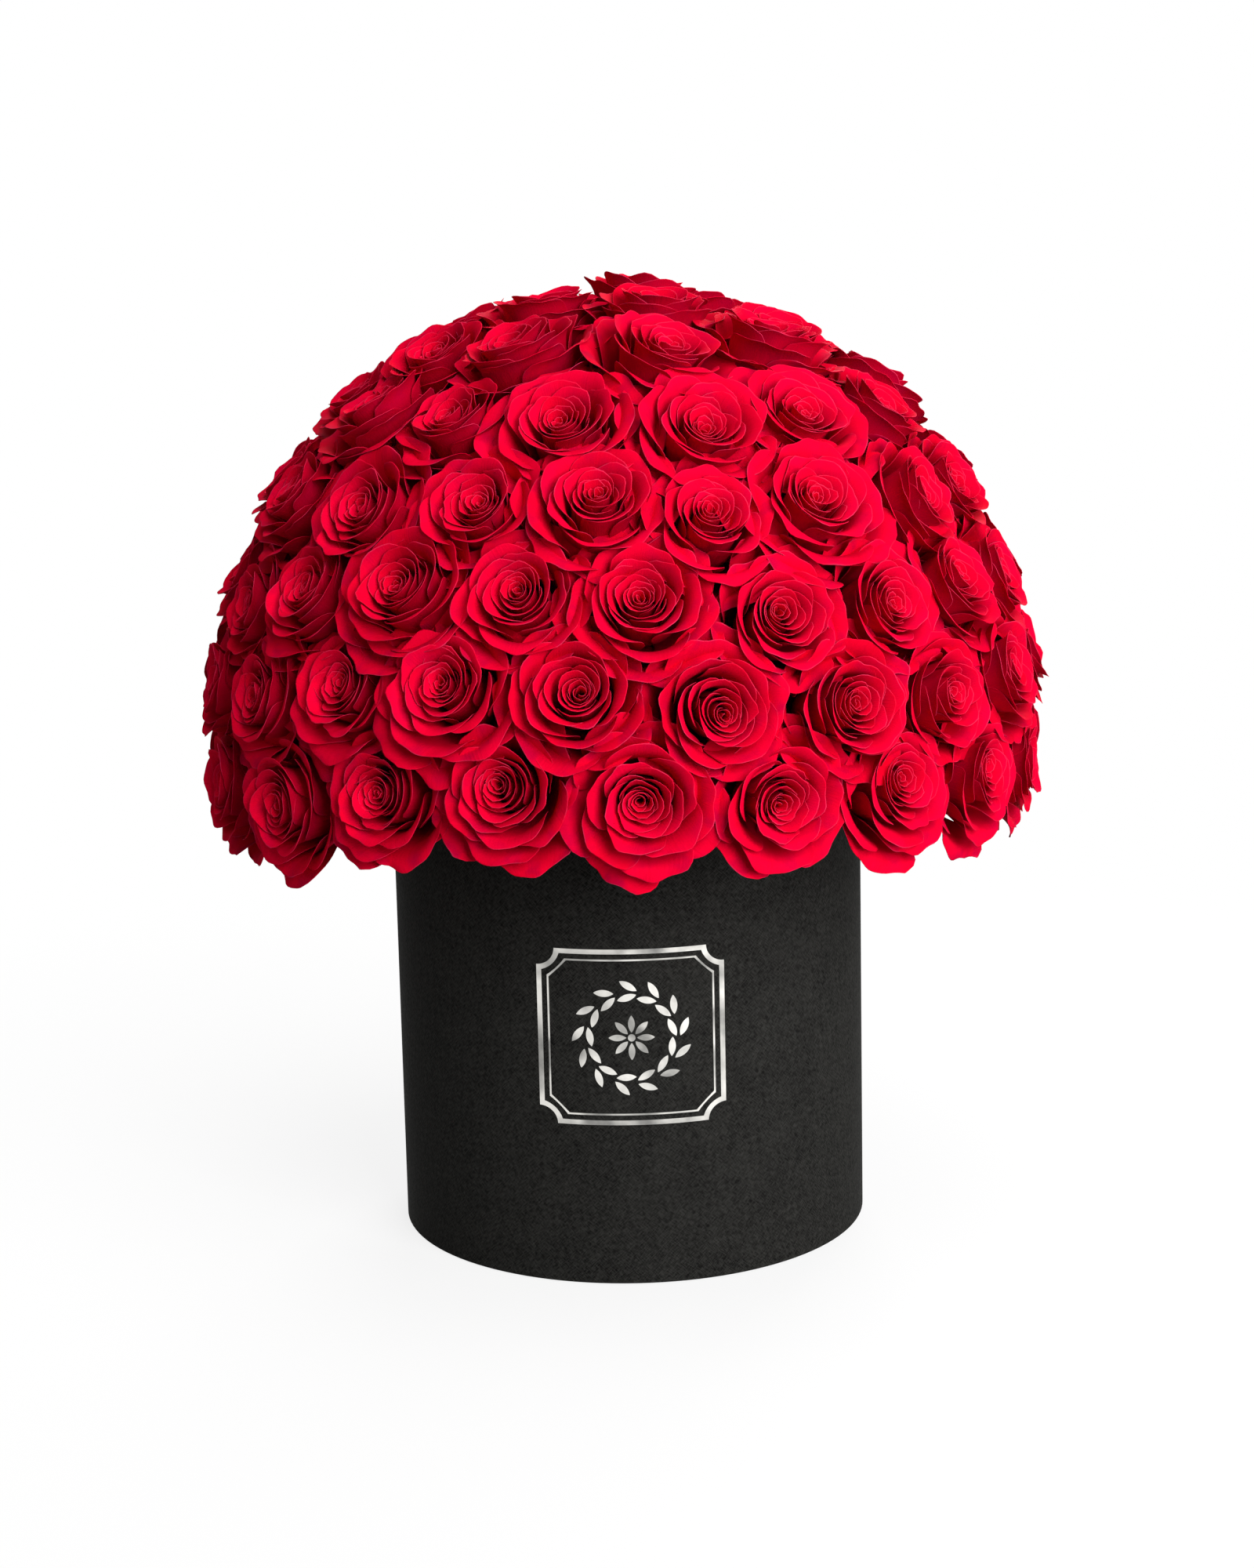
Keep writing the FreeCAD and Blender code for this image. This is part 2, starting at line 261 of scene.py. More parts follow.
class Nodes:
    """A node tree that is written as expressions."""

    def __init__(self, tree):
        self.tree = tree

    def node(self, kind, settings=None, sockets=None, out=0):
        """Adds a node with its settings and its socket values or links, and returns one of its outputs."""
        made = self.tree.nodes.new(kind)
        for setting, value in (settings or {}).items():
            setattr(made, setting, value)
        for socket, value in (sockets or {}).items():
            self.plug(made.inputs[socket], value)
        return Value(self, made.outputs[out])

    def plug(self, socket, value):
        """Links a value to a socket, or sets the socket to a plain number or colour."""
        if isinstance(value, Value):
            self.tree.links.new(value.socket, socket)
        elif isinstance(value, tuple) and socket.type == "RGBA":
            socket.default_value = (*value, 1)
        else:
            socket.default_value = value

    def seen(self):
        """1 for what the camera sees, straight or by way of gloss and glass, and 0 for light that only
        bounces."""
        seen = self.node("ShaderNodeLightPath", out="Is Camera Ray")
        rays = seen.socket.node.outputs
        for kind in ("Is Glossy Ray", "Is Transmission Ray"):
            seen = seen.maths("MAXIMUM", seen, Value(self, rays[kind]))
        return seen


class Finish(Nodes):
    """A material made of nodes on one Principled shader."""

    def __init__(self, name, **constants):
        self.material = bpy.data.materials.new(name)
        self.material.use_nodes = True
        super().__init__(self.material.node_tree)
        self.shader = self.tree.nodes["Principled BSDF"]
        for socket, value in constants.items():
            self.shader.inputs[socket.replace("_", " ")].default_value = value

    def feed(self, **links):
        """Links what changes over the surface to the shader."""
        for socket, value in links.items():
            self.plug(self.shader.inputs[socket.replace("_", " ")], value)

    def mix(self, factor, first, second):
        """A colour between two colours."""
        settings = {"data_type": "RGBA", "clamp_factor": True}
        return self.node("ShaderNodeMix", settings, {0: factor, 6: first, 7: second}, 2)

    def place(self):
        """The surface point in the part's own frame, in metres."""
        return self.node("ShaderNodeTexCoord", out="Object")

    def stretched_place(self, scale):
        """The surface point scaled along each axis, which draws out a grain where the scale is small."""
        return self.node("ShaderNodeVectorMath", {"operation": "MULTIPLY"}, {0: self.place(), 1: scale})

    def drawn(self, name):
        """A number stored on the mesh."""
        return self.node("ShaderNodeAttribute", {"attribute_name": name}, out="Fac")

    def rise(self, value, low, high):
        """0 below low, 1 above high, smooth between them."""
        sockets = {"Value": value, "From Min": low, "From Max": high}
        return self.node("ShaderNodeMapRange", {"interpolation_type": "SMOOTHSTEP"}, sockets)

    def split(self, vector):
        """The three parts of a vector."""
        parts = self.node("ShaderNodeSeparateXYZ", None, {0: vector}).socket.node.outputs
        return [Value(self, part) for part in parts]

    def joined(self, x, y, z=0.0):
        """A vector from its three parts."""
        return self.node("ShaderNodeCombineXYZ", None, {0: x, 1: y, 2: z})

    def noise(self, where, scale, detail=3.0, roughness=0.55):
        """Cloudy noise around 0.5, with this many clouds to the unit."""
        sockets = {"Vector": where, "Scale": scale, "Detail": detail, "Roughness": roughness}
        return self.node("ShaderNodeTexNoise", None, sockets)

    def bump(self, height, depth, strength=1.0):
        """A surface relief of this depth in metres."""
        sockets = {"Height": height, "Distance": depth, "Strength": strength}
        return self.node("ShaderNodeBump", None, sockets)

    def grained(self, grain, dark, light, roughness, depth):
        """The material with one grain in its colour, in its relief and in its roughness, which is given as
        the least and what the grain adds."""
        least, gain = roughness
        self.feed(
            Base_Color=self.mix(grain, dark, light),
            Roughness=least + gain * grain,
            Normal=self.bump(grain, depth),
        )
        return self.material


# Finishes


def make_petal_finish():
    """Velvety red petals: bright inside, crimson outside and darkened towards the foot as painted shade,
    with fine veins, bruised outer petals and a thin painted highlight along the free edge."""
    petal = Finish(
        "rose_petal",
        Specular_IOR_Level=0.01,
        Sheen_Weight=0.015,
        Sheen_Roughness=0.35,
        Sheen_Tint=(1.0, 0.02, 0.2, 1),
    )
    across = petal.drawn("across")
    along = petal.drawn("along")
    inside = petal.drawn("inside")
    own = petal.drawn("own_tone")
    veins_across = 26
    veins_along = 2.2
    veins_apart = 50
    streaks = petal.joined(across * veins_across, along * veins_along, own * veins_apart)
    veins = petal.noise(streaks, scale=1.0)
    clouds = petal.noise(petal.place(), scale=90.0, detail=2.0)
    shade = 0.35 * own + 0.4 * clouds + 0.25 * veins
    face = petal.mix(shade, (0.60, 0.0, 0.010), (0.95, 0.0004, 0.046))
    back = petal.mix(shade, (0.33, 0.0, 0.009), (0.64, 0.0004, 0.032))
    colour = petal.mix(inside, back, face)
    # Painted shade: darker towards the foot of each petal, deep in the cup where shade falls
    foot = 1 - petal.rise(along, low=0.15, high=0.7)
    colour = petal.mix(foot * 0.75, colour, (0.17, 0.0, 0.006))
    edge = petal.drawn("edge")
    blotches = petal.rise(clouds, low=0.42, high=0.72)
    bruise = petal.drawn("order") * petal.rise(edge, low=0.6, high=0.98) * blotches
    colour = petal.mix(bruise * 0.6, colour, (0.27, 0.0, 0.036))
    # Painted highlight: a thin pale pink line along the free edge of each petal, where its rim catches the
    # light
    pale_edge = petal.rise(edge, low=EDGE_STRIP, high=1.0) * petal.rise(clouds, low=0.3, high=0.8)
    colour = petal.mix(pale_edge * 0.6, colour, (0.78, 0.055, 0.15))
    petal.feed(
        Base_Color=colour,
        Roughness=0.62 + 0.22 * clouds,
        Normal=petal.bump(veins + 0.5 * clouds, depth=0.00025, strength=0.7),
    )
    return petal.material


def make_calyx_finish():
    """Grey-green sepals and hip, paler at the edges."""
    calyx = Finish("rose_calyx", Specular_IOR_Level=0.3)
    blotches = calyx.noise(calyx.place(), scale=220.0)
    colour = calyx.mix(blotches, (0.055, 0.10, 0.030), (0.17, 0.23, 0.09))
    pale_edge = calyx.rise(calyx.drawn("edge"), low=0.6, high=1.0)
    calyx.feed(
        Base_Color=calyx.mix(pale_edge * 0.6, colour, (0.36, 0.38, 0.28)),
        Roughness=0.5 + 0.25 * blotches,
        Normal=calyx.bump(blotches, depth=0.0004),
    )
    return calyx.material


def make_stem_finish():
    """Fresh green cut stems."""
    stem = Finish("rose_stem", Specular_IOR_Level=0.35)
    grain = stem.noise(stem.stretched_place((1, 1, 0.5)), scale=320.0)
    return stem.grained(
        grain,
        dark=(0.045, 0.11, 0.02),
        light=(0.15, 0.25, 0.06),
        roughness=(0.4, 0.25),
        depth=0.0003,
    )


def make_cover_finish():
    """Matt black cover paper: cloudy, with short crossed fibres pressed into it."""
    cover = Finish("cover_paper", Specular_IOR_Level=0.04)
    where = cover.place()
    x, y, z = cover.split(where)
    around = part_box("outer_wrap")[1][0] * x.maths("ARCTAN2", x, 0 - y)
    rising = around + z
    falling = around - z
    fibres_across = 1500
    fibres_along = 210
    one_way = cover.noise(cover.joined(rising * fibres_across, falling * fibres_along), scale=1.0)
    other_way = cover.noise(cover.joined(falling * fibres_across, rising * fibres_along), scale=1.0)
    fibres = 0.5 * one_way + 0.5 * other_way
    clouds = cover.noise(where, scale=70.0, detail=5.0, roughness=0.7)
    shade = 0.2 * cover.rise(clouds, low=0.3, high=0.7) + 0.8 * cover.rise(fibres, low=0.36, high=0.64)
    pebble = cover.noise(where, scale=900.0, detail=2.0)
    cover.feed(
        Base_Color=cover.mix(shade, (0.0022, 0.0022, 0.0021), (0.033, 0.0325, 0.030)),
        Roughness=0.76 + 0.14 * clouds + 0.1 * pebble,
        Normal=cover.bump(0.6 * fibres + 0.4 * pebble, depth=0.0002, strength=0.8),
    )
    return cover.material


def make_lining_finish(name):
    """Smooth black paper, for the linings and under the base."""
    lining = Finish(name, Specular_IOR_Level=0.35)
    return lining.grained(
        lining.noise(lining.place(), scale=1500.0),
        dark=(0.012, 0.012, 0.012),
        light=(0.028, 0.027, 0.026),
        roughness=(0.6, 0.2),
        depth=0.0001,
    )


def make_board_finish():
    """Recycled grey board."""
    board = Finish("grey_board", Specular_IOR_Level=0.2)
    return board.grained(
        board.noise(board.place(), scale=1100.0, detail=4.0),
        dark=(0.24, 0.21, 0.17),
        light=(0.42, 0.39, 0.34),
        roughness=(0.75, 0.2),
        depth=0.0002,
    )


def make_foil_finish():
    """Hot-pressed silver foil that follows the grain of the paper under it. Its colour mixes real wear with
    broad painted reflections: bright and dark patches that stand in for what the foil reflects.
    """
    foil = Finish("silver_foil", Metallic=1.0)
    where = foil.place()
    pebble = foil.noise(where, scale=900.0, detail=2.0)
    wear = foil.noise(where, scale=260.0)
    # Painted reflection: broad bright and dark patches in the foil's colour that stand in for what it
    # reflects
    painted_gleam = foil.rise(foil.noise(where, scale=38.0, detail=2.0), low=0.34, high=0.62)
    foil.feed(
        Base_Color=foil.mix(0.7 * painted_gleam + 0.3 * wear, (0.13, 0.13, 0.125), (0.90, 0.88, 0.83)),
        Roughness=0.3 + 0.22 * wear,
        Normal=foil.bump(pebble, depth=0.00015, strength=0.6),
    )
    return foil.material


def make_pot_finish():
    """Thin black plastic with a fine moulded grain."""
    pot = Finish("pot_plastic", Specular_IOR_Level=0.12)
    return pot.grained(
        pot.noise(pot.place(), scale=1400.0, detail=2.0),
        dark=(0.010, 0.010, 0.011),
        light=(0.026, 0.026, 0.027),
        roughness=(0.42, 0.2),
        depth=0.00008,
    )


def make_foam_finish():
    """Green flower foam: open crumbly pores, near black at their middles as painted shade, on a wet dark
    green that is darkened further as painted shade for the gaps between the roses.
    """
    foam = Finish("wet_foam", Specular_IOR_Level=0.15)
    where = foam.place()
    pores = foam.node("ShaderNodeTexVoronoi", None, {"Vector": where, "Scale": 700.0}, "Distance")
    damp = foam.noise(where, scale=28.0)
    # Wet foam's own dark green, made darker still as painted shade for the gaps between the roses where it
    # shows
    colour = foam.mix(damp, (0.006, 0.024, 0.010), (0.016, 0.058, 0.024))
    foam.feed(
        # Painted shade: the colour falls to near black at the middle of each pore, where shade lies in the
        # hollow
        Base_Color=foam.mix(foam.rise(pores, low=0.0, high=0.35), (0.003, 0.011, 0.005), colour),
        Roughness=0.7 + 0.25 * damp,
        Normal=foam.bump(pores, depth=0.0008),
    )
    return foam.material


def make_skewer_finish():
    """Pale bamboo with its grain along the stick."""
    bamboo = Finish("skewer_wood", Specular_IOR_Level=0.3)
    return bamboo.grained(
        bamboo.noise(bamboo.stretched_place((1, 1, 0.03)), scale=2600.0),
        dark=(0.42, 0.27, 0.12),
        light=(0.66, 0.50, 0.27),
        roughness=(0.5, 0.2),
        depth=0.0002,
    )


# Roses


def scatter(rng, most):
    """A random number up to this far from 0, either way."""
    return rng.uniform(-most, most)


def ease(low, high, value):
    """0 below low, 1 above high, smooth between them."""
    share = np.clip((value - low) / (high - low), 0, 1)
    return share * share * (3 - 2 * share)


def ripples(rng, waves, across, drift=0.0):
    """A few waves of random height and phase over the width of a petal."""
    total = np.zeros_like(across + drift)
    for number in range(*waves):
        height = scatter(rng, 1)
        total = total + height * np.sin(WAVE_PITCH * number * across + rng.uniform(0, ANY_TURN) + drift)
    return total


def arched(foot, foot_lean, rim, lip_lean, pull, reach):
    """Radius and height along strips that leave the foot at one lean and end at the rim at another.
    Leans are in radians from the axis, and reach is how far along its strip each point lies."""
    stride = np.hypot(rim[0] - foot[0], rim[1] - foot[1])
    low = pull[0] * stride
    high = pull[1] * stride
    weights = ((1 - reach) ** 3, 3 * reach * (1 - reach) ** 2, 3 * reach**2 * (1 - reach), reach**3)
    radii = (foot[0], foot[0] + low * np.sin(foot_lean), rim[0] - high * np.sin(lip_lean), rim[0])
    heights = (foot[1], foot[1] + low * np.cos(foot_lean), rim[1] - high * np.cos(lip_lean), rim[1])
    return sum(w * r for w, r in zip(weights, radii)), sum(w * h for w, h in zip(weights, heights))


def edged(count):
    """Even steps from 0 to 1 with a narrow last one, which carries the painted highlight along the edge of a
    petal.
    """
    return np.append(np.linspace(0, EDGE_STRIP, count - 1), 1.0)


def free_edge(order, across, rng):
    """How far a petal reaches at each place across it, as a share of its length."""
    tip = TIP_HEIGHT * order * np.exp(-(((across - scatter(rng, TIP_WANDER)) / TIP_WIDTH) ** 2))
    frayed = (FRAY + FRAY_GAIN * order) * ripples(rng, FRAY_WAVES, across)
    return 1 - (CORNER_DROP - CORNER_DROP_LOSS * order) * np.abs(across) ** CORNER_CURVE + tip + frayed


def petal_points(order, opening, rng, columns, rows):
    """The middle surface of one petal that grows from the axis, how near each of its points is to the free
    edge, and where it lies across and along the petal."""

    def along_spiral(values):
        return float(np.interp(order, SPIRAL, values))

    half = edged(columns // 2 + 1)
    across = np.concatenate([-half[:0:-1], half])[:, None]
    down = edged(rows)[None, :] ** ROW_SPACING
    reach = down * free_edge(order, across, rng)

    looseness = HEART_LOOSENESS + order
    more_open = opening - HALF_OPEN
    rim_radius = along_spiral(RIM_RADIUS) * (1 + OPEN_RADIUS * more_open)
    rim_radius = rim_radius + scatter(rng, RADIUS_SCATTER) * looseness
    rim_height = along_spiral(RIM_HEIGHT) - OPEN_DROP * more_open * order + scatter(rng, HEIGHT_SCATTER)
    lip = along_spiral(LIP_LEAN) + OPEN_LEAN * more_open * looseness + scatter(rng, LEAN_SCATTER) * looseness
    lip_lean = np.radians(lip * (MIDDLE_LEAN + CORNER_LEAN * order * across**2))
    foot_lean = math.radians(along_spiral(FOOT_LEAN))
    foot = (FOOT_RADIUS + FOOT_RADIUS_GAIN * order, 0.0)
    radius, height = arched(foot, foot_lean, (rim_radius, rim_height), lip_lean, ARCH_PULL, reach)

    half_width = along_spiral(HALF_WIDTH) * rng.uniform(*WIDTH_SCATTER)
    wrap = min(half_width / max(rim_radius, LEAST_RIM), MOST_WRAP)
    shoulder = np.sqrt(1 - SHOULDER_LOSS * order * down**SHOULDER_CURVE)
    angle = across * shoulder * wrap * (FOOT_WIDTH + (1 - FOOT_WIDTH) * ease(0, FULL_WIDTH_AT, reach))
    radius = radius * (1 + OVERLAP * across) + SIDE_FLARE * order * across**2 * ease(*FLARE_SPAN, reach)

    sway = ripples(rng, SWAY_WAVES, across, SWAY_DRIFT * reach)
    crimp = ripples(rng, CRIMP_WAVES, across, CRIMP_DRIFT * reach) * ease(CRIMP_START, 1.0, reach)
    radius = radius + (SWAY_OUT * sway * ease(SWAY_OUT_START, 1.0, reach) + CRIMP_OUT * crimp) * looseness
    height = height + (SWAY_UP * sway * ease(SWAY_UP_START, 1.0, reach) + CRIMP_UP * crimp) * order
    points = np.stack([radius * np.cos(angle), radius * np.sin(angle), height], axis=-1)
    edge = np.maximum(down, np.abs(across))
    return points, edge, np.broadcast_to(across, edge.shape), reach


def turned(points, angle, axis):
    """Points turned about an axis of the rose."""
    return points @ np.array(Matrix.Rotation(angle, 3, axis)).T


class Skins:
    """Thin closed blades gathered into one mesh."""

    def __init__(self):
        self.points = []
        self.quads = []
        self.numbers = {"edge": [], "across": [], "along": [], "inside": [], "order": [], "own_tone": []}
        self.finish = []
        self.count = 0

    def add(self, points, edge, across, along, thickness, finish, order=0.0, tone=0.5):
        """Two faces a blade's thickness apart, sewn together round their edge."""
        columns, rows = edge.shape
        normal = np.cross(np.gradient(points, axis=0), np.gradient(points, axis=1))
        no_zero = 1e-9
        normal = normal / (np.linalg.norm(normal, axis=-1, keepdims=True) + no_zero)
        thinning = 1 - EDGE_THINNING * ease(THINNING_START, 1.0, edge)
        half = (0.5 * thickness * thinning)[..., None]
        for side, skin in enumerate((points + normal * half, points - normal * half)):
            self.points.append(skin.reshape(-1, 3))
            for name, numbers in (("edge", edge), ("across", across), ("along", along)):
                self.numbers[name].append(numbers.reshape(-1))
            for name, number in (("inside", side), ("order", order), ("own_tone", tone)):
                self.numbers[name].append(np.full(columns * rows, float(number)))
        outer = self.count + np.arange(columns * rows).reshape(columns, rows)
        inner = outer + columns * rows
        quads = []
        for skin, flip in ((outer, False), (inner, True)):
            corners = [skin[:-1, :-1], skin[1:, :-1], skin[1:, 1:], skin[:-1, 1:]]
            quads.append(np.stack(corners[::-1] if flip else corners, axis=-1).reshape(-1, 4))
        rim = np.concatenate([outer[:, 0], outer[-1, 1:], outer[::-1, -1][1:], outer[0, ::-1][1:]])
        under = rim + columns * rows
        quads.append(np.stack([rim[1:], rim[:-1], under[:-1], under[1:]], axis=-1))
        self.quads += quads
        self.finish.append(np.full(sum(len(q) for q in quads), finish))
        self.count += 2 * columns * rows

    def mesh(self, name, materials):
        """The mesh in metres, with the numbers that the finishes read."""
        made = bpy.data.meshes.new(name)
        points = np.concatenate(self.points) * MM
        made.from_pydata(points.tolist(), [], np.concatenate(self.quads).tolist())
        for material in materials:
            made.materials.append(material)
        made.polygons.foreach_set("material_index", np.concatenate(self.finish).astype(np.int32))
        made.polygons.foreach_set("use_smooth", np.ones(len(made.polygons), dtype=bool))
        for key, numbers in self.numbers.items():
            layer = made.attributes.new(key, "FLOAT", "POINT")
            layer.data.foreach_set("value", np.concatenate(numbers).astype(np.float32))
        made.update()
        return made


def add_petals(skins, rng, opening):
    """Petals on a spiral from the rolled heart to the guard petals."""
    turn = rng.uniform(0, ANY_TURN)
    oval = rng.uniform(*HEART_OVAL)
    heart_tilt = math.radians(scatter(rng, HEART_TILT))
    for number in range(HEART_PETALS + OPEN_PETALS):
        if number < HEART_PETALS:
            order = HEART_SHARE * number / (HEART_PETALS - 1)
            grid = BUD_GRID if order < BUD_SHARE else HEART_GRID
        else:
            order = HEART_SHARE + (1 - HEART_SHARE) * (number - HEART_PETALS + 1) / OPEN_PETALS
            grid = OPEN_GRID
        points, edge, across, along = petal_points(order, opening, rng, *grid)
        points = turned(points, math.radians(scatter(rng, PETAL_TILT) * order), "Y")
        turn += GOLDEN_ANGLE + math.radians(scatter(rng, TURN_SCATTER))
        points = turned(points, turn, "Z")
        points[..., 0] *= oval + (1 - oval) * order
        points = turned(points, heart_tilt * (1 - order) ** 2, "X")
        tone = rng.random() * (1 - TONE_LOSS * order) + OPEN_TONE * (opening - HALF_OPEN)
        skins.add(points, edge, across, along, PETAL_THICKNESS, PETAL_FINISH, order, tone)


def add_sepals(skins, rng):
    """Pointed sepals bent back under the bloom."""
    columns, rows = SEPAL_GRID
    across = np.linspace(-1, 1, columns)[:, None]
    down = np.linspace(0, 1, rows)[None, :]
    reach = np.broadcast_to(down, SEPAL_GRID)
    waist = 1 - SEPAL_WAIST + SEPAL_WAIST * np.sin(SEPAL_WAIST_PITCH * down)
    width = SEPAL_HALF_WIDTH * (1 - down**SEPAL_TAPER) * waist + SEPAL_POINT
    edge = np.maximum(np.abs(across) ** 2, down**6)
    for number in range(SEPALS):
        length = rng.uniform(*SEPAL_LENGTH)
        drop = math.radians(rng.uniform(*SEPAL_DROP))
        tip = (SEPAL_SEAT[0] + length * math.cos(drop), SEPAL_SEAT[1] - length * math.sin(drop))
        end_lean = math.radians(rng.uniform(*SEPAL_END_LEAN))
        seat_lean = math.radians(SEPAL_SEAT_LEAN)
        radius, height = arched(SEPAL_SEAT, seat_lean, tip, end_lean, SEPAL_PULL, reach)
        points = np.stack([radius, across * width, height - SEPAL_KEEL * across**2 * down], axis=-1)
        points = turned(points, 2 * math.pi * (number + scatter(rng, SEPAL_TURN_SCATTER)) / SEPALS, "Z")
        skins.add(points, edge, np.broadcast_to(across, SEPAL_GRID), reach, SEPAL_THICKNESS, CALYX_FINISH)


def add_hip(skins):
    """The green hip that joins the bloom to its stem."""
    columns, rows = HIP_GRID
    height = np.linspace(-HIP_LENGTH, 0, rows)[None, :]
    around = np.linspace(0, 2 * math.pi, columns)[:, None]
    rise = np.clip((height + HIP_LENGTH) / HIP_LENGTH, 0, 1)
    girth = HIP_NECK + HIP_SWELL * np.sin(math.pi * rise**HIP_CURVE) ** HIP_CURVE
    level = np.broadcast_to(height, HIP_GRID)
    points = np.stack([girth * np.cos(around), girth * np.sin(around), level], axis=-1)
    plain = np.zeros(HIP_GRID)
    skins.add(points, plain, plain, plain, HIP_THICKNESS, CALYX_FINISH)


def make_rose_model(number, petal, calyx):
    """One rose with its foot at the origin, looking up."""
    rng = random.Random(MODEL_SEED + number)
    skins = Skins()
    step = OPENING_RANGE * (number % OPENING_STEPS) / (OPENING_STEPS - 1)
    opening = LEAST_OPENING + step + scatter(rng, OPENING_SCATTER)
    add_petals(skins, rng, opening)
    add_sepals(skins, rng)
    add_hip(skins)
    return skins.mesh(f"rose_model_{number + 1}", [petal, calyx])


def stems_of_row(row):
    """Both ends of each stem in a row, foot first, read from the solids."""
    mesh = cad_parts[f"rose_row_{row}_stems"].data
    points = np.empty(len(mesh.vertices) * 3)
    mesh.vertices.foreach_get("co", points)
    points = points.reshape(-1, 3)
    _, welded = np.unique(np.round(points, WELD_DIGITS), axis=0, return_inverse=True)
    owner = np.arange(welded.max() + 1)

    def root(index):
        while owner[index] != index:
            owner[index] = owner[owner[index]]
            index = owner[index]
        return index

    for edge in mesh.edges:
        owner[root(welded[edge.vertices[0]])] = root(welded[edge.vertices[1]])
    groups = {}
    for point, weld in zip(points, welded):
        groups.setdefault(root(weld), []).append(point)
    stems = []
    for group in groups.values():
        group = np.array(group)
        middle = group.mean(axis=0)
        axis = np.linalg.svd(group - middle)[2][0]
        if axis @ np.array([middle[0], middle[1], OUTWARD_RISE]) < 0:
            axis = -axis
        reach = (group - middle) @ axis
        stems.append((Vector(middle + axis * reach.min()), Vector(middle + axis * reach.max())))
    return sorted(stems, key=lambda stem: math.atan2(stem[1].x, -stem[1].y))


def room_around(seat, seats):
    """Mean distance from a seat to the nearest ones."""
    distances = sorted((other - seat).length for other in seats)
    return sum(distances[1 : NEIGHBOURS + 1]) / NEIGHBOURS


def open_side(seat, seats):
    """The way from a seat to where it has room: away from the seats that crowd it."""
    away = Vector()
    for other in seats:
        step = seat - other
        if 0 < step.length < CROWDING_REACH:
            away += step.normalized()
    return away


def plant_roses(petal, calyx):
    """One rose on every stem, in place of the solids of its row."""
    models = [make_rose_model(number, petal, calyx) for number in range(ROSE_MODELS)]
    rng = random.Random(PLANTING_SEED)
    planted = 0
    rows = {row: stems_of_row(row) for row in range(1, ROSE_ROWS + 1)}
    tops = [top for stems in rows.values() for _, top in stems]
    for row, stems in rows.items():
        replaced = [f"rose_row_{row}_{solid}" for solid in ROSE_SOLIDS]
        for number, (foot, top) in enumerate(stems, 1):
            facing = (top - foot).normalized()
            seat = top + facing * HIP_LENGTH * MM
            lean = open_side(top, tops) * LEAN_TO_ROOM * max(facing.z, 0)
            facing = (facing + lean + Vector((0, 0, LOOK_UP * (1 - facing.z)))).normalized()
            model = models[planted * MODEL_STEP % ROSE_MODELS]
            planted += 1
            rose = bpy.data.objects.new(f"rose_{row}_{number:02}", model)
            bpy.context.scene.collection.objects.link(rose)
            nod = Matrix.Rotation(math.radians(scatter(rng, NOD)), 4, "X")
            roll = Matrix.Rotation(rng.uniform(0, ANY_TURN), 4, "Z")
            upright = facing.to_track_quat("Z", "Y").to_matrix().to_4x4()
            fill = min(room_around(top, tops) / USUAL_ROOM, 1 + CROWN_GROWTH * max(facing.z, 0))
            size = Matrix.Scale(fill * rng.uniform(*SIZE_SCATTER), 4)
            rose.matrix_world = Matrix.Translation(seat) @ upright @ nod @ roll @ size
            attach(rose, "bouquet")
            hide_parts(*replaced)


# Box, pot, foam and stems: the solids themselves, with their finishes


def dress_solids():
    cover = make_cover_finish()
    lining = make_lining_finish("lining_paper")
    base = make_lining_finish("base_paper")
    board = make_board_finish()
    foil = make_foil_finish()
    pot = make_pot_finish()
    foam = make_foam_finish()
    skewer = make_skewer_finish()
    stem = make_stem_finish()
    finishes = {
        "outer_wrap": cover,
        "wall_lining": lining,
        "floor_lining": lining,
        "base_paper": base,
        "wall_tube": board,
        "base_board": board,
        "foil_border": foil,
        "foil_wreath": foil,
        "foil_rosette": foil,
        "liner_pot": pot,
        "foam_block": foam,
        "foam_dome": foam,
        "foam_skewers": skewer,
    }
    for row in range(1, ROSE_ROWS + 1):
        finishes[f"rose_row_{row}_stems"] = stem
    for node, finish in finishes.items():
        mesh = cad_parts[node].data
        mesh.materials.clear()
        mesh.materials.append(finish)


# Studio


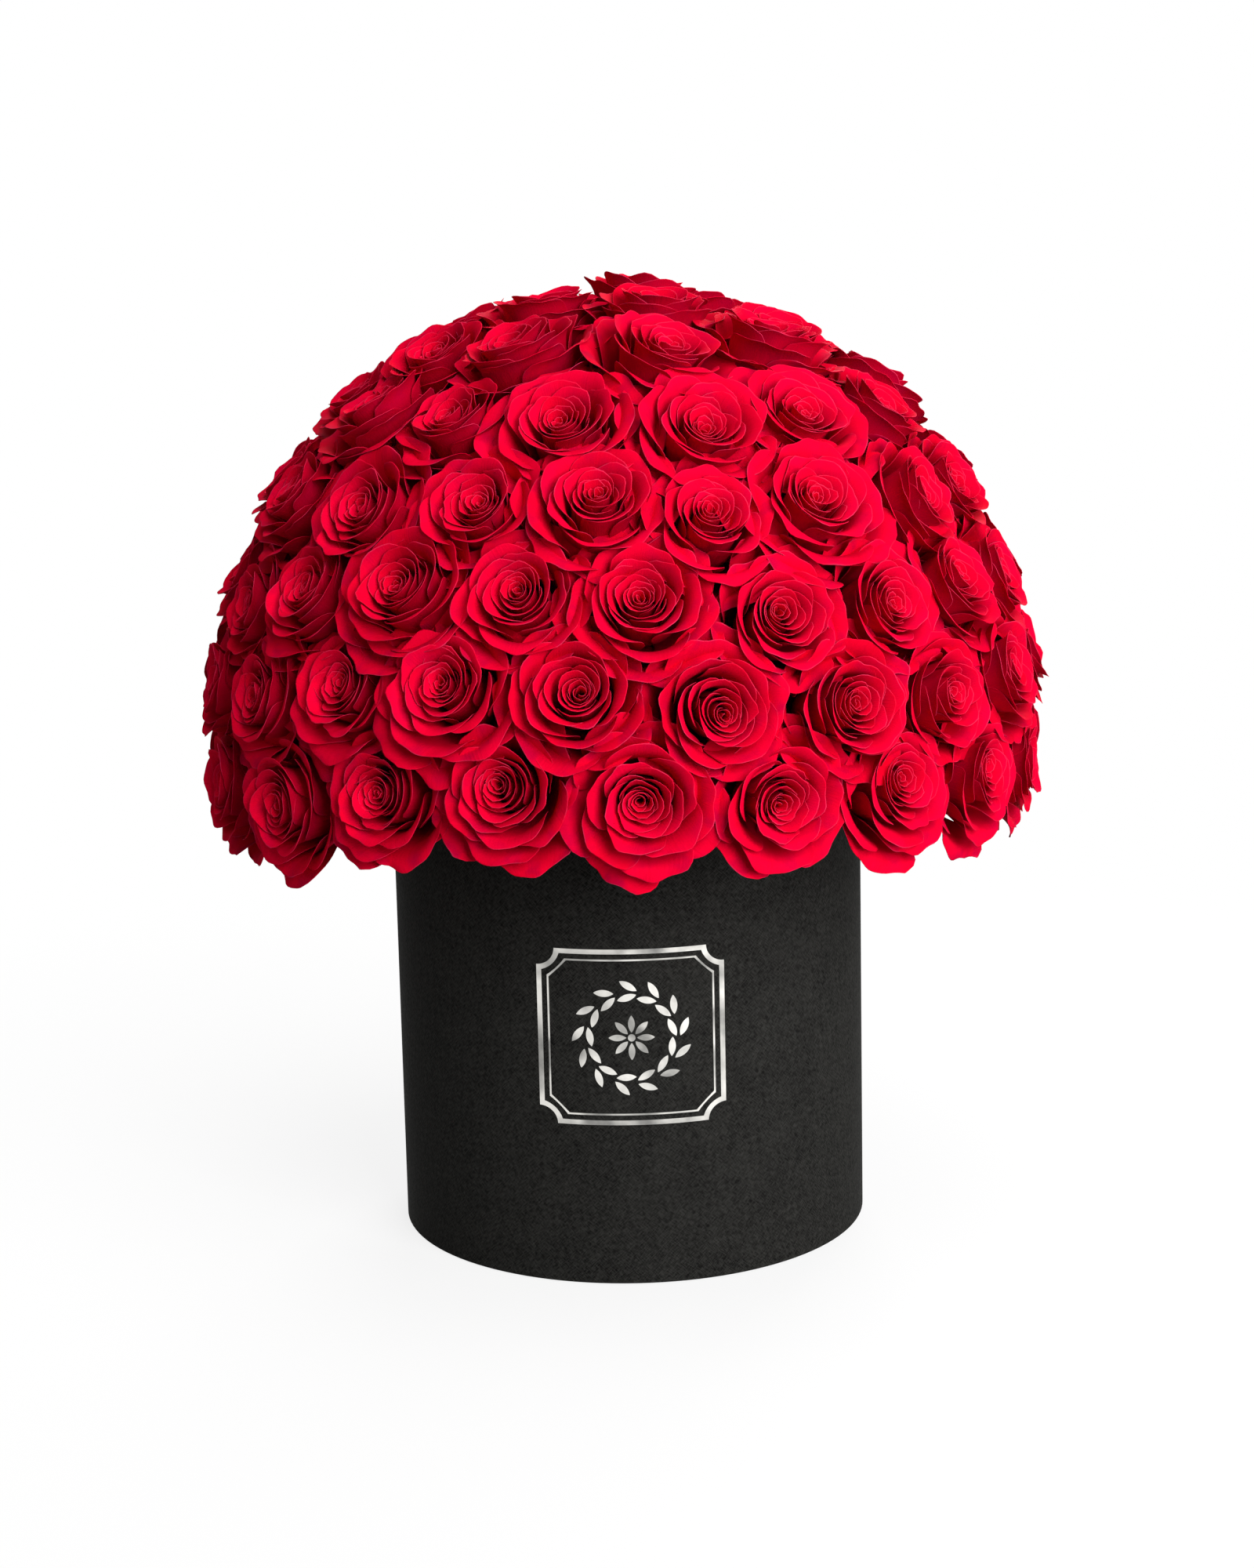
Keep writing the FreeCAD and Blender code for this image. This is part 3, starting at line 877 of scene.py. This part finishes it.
def make_floor():
    """A pale floor, white to the eye and in reflections, that shows the soft shadow of the box."""
    floor = Finish("pale_floor", Roughness=0.9, Specular_IOR_Level=0.0)
    floor.feed(Base_Color=floor.mix(floor.seen(), (0.36, 0.36, 0.36), (0.9, 0.9, 0.9)))
    glow = floor.node("ShaderNodeEmission", None, {"Color": (1.0, 1.0, 1.0), "Strength": 1.0})
    lit = Value(floor, floor.shader.outputs[0])
    x, y, _ = floor.split(floor.place())
    far_off = floor.rise((x * x + y * y) ** 0.5, low=FADE_START, high=FADE_END)
    share = floor.seen() * (FLOOR_GLOW + (1 - FLOOR_GLOW) * far_off)
    surface = floor.node("ShaderNodeMixShader", None, {0: share, 1: lit, 2: glow})
    floor.plug(floor.tree.nodes["Material Output"].inputs["Surface"], surface)
    mesh = bpy.data.meshes.new("floor")
    near, far = -FLOOR_HALF, FLOOR_HALF
    corners = [(near, near, 0), (far, near, 0), (far, far, 0), (near, far, 0)]
    mesh.from_pydata(corners, [], [(0, 1, 2, 3)])
    mesh.materials.append(floor.material)
    sheet = bpy.data.objects.new("floor", mesh)
    sheet.location.z = -FLOOR_DROP
    bpy.context.scene.collection.objects.link(sheet)


def make_sky():
    """White where the camera, metal and glass see it, an even fill light elsewhere."""
    world = bpy.data.worlds.new("studio")
    world.use_nodes = True
    bpy.context.scene.world = world
    sky = Nodes(world.node_tree)
    background = world.node_tree.nodes["Background"]
    sky.plug(background.inputs["Color"], (1.0, 1.0, 1.0))
    sky.plug(background.inputs["Strength"], FILL_LIGHT + (1 - FILL_LIGHT) * sky.seen())


def add_softbox(name, place, size, power):
    light = bpy.data.lights.new(name, "AREA")
    light.shape = "RECTANGLE"
    light.size, light.size_y = size
    light.energy = power
    lamp = bpy.data.objects.new(name, light)
    lamp.location = place
    aim = LIGHT_TARGET - Vector(place)
    lamp.rotation_euler = aim.to_track_quat("-Z", "Y").to_euler()
    bpy.context.scene.collection.objects.link(lamp)


def make_studio():
    make_floor()
    make_sky()
    for name, (place, size, power) in SOFTBOXES.items():
        add_softbox(name, place, size, power)


def make_camera():
    camera = bpy.data.cameras.new("camera")
    camera.lens = CAMERA_LENS
    camera.sensor_fit = "AUTO"
    camera.sensor_width = CAMERA_SENSOR
    stand = bpy.data.objects.new("camera", camera)
    back = Vector((0, -math.cos(CAMERA_ELEVATION), math.sin(CAMERA_ELEVATION)))
    stand.location = CAMERA_TARGET + back * CAMERA_DISTANCE
    aim = (-back).to_track_quat("-Z", "Y").to_matrix()
    stand.rotation_euler = (aim @ Matrix.Rotation(CAMERA_ROLL, 3, "Z")).to_euler()
    bpy.context.scene.collection.objects.link(stand)
    bpy.context.scene.camera = stand


def main():
    bpy.context.scene.view_settings.view_transform = "Standard"
    make_camera()
    make_studio()
    dress_solids()
    plant_roses(make_petal_finish(), make_calyx_finish())


main()
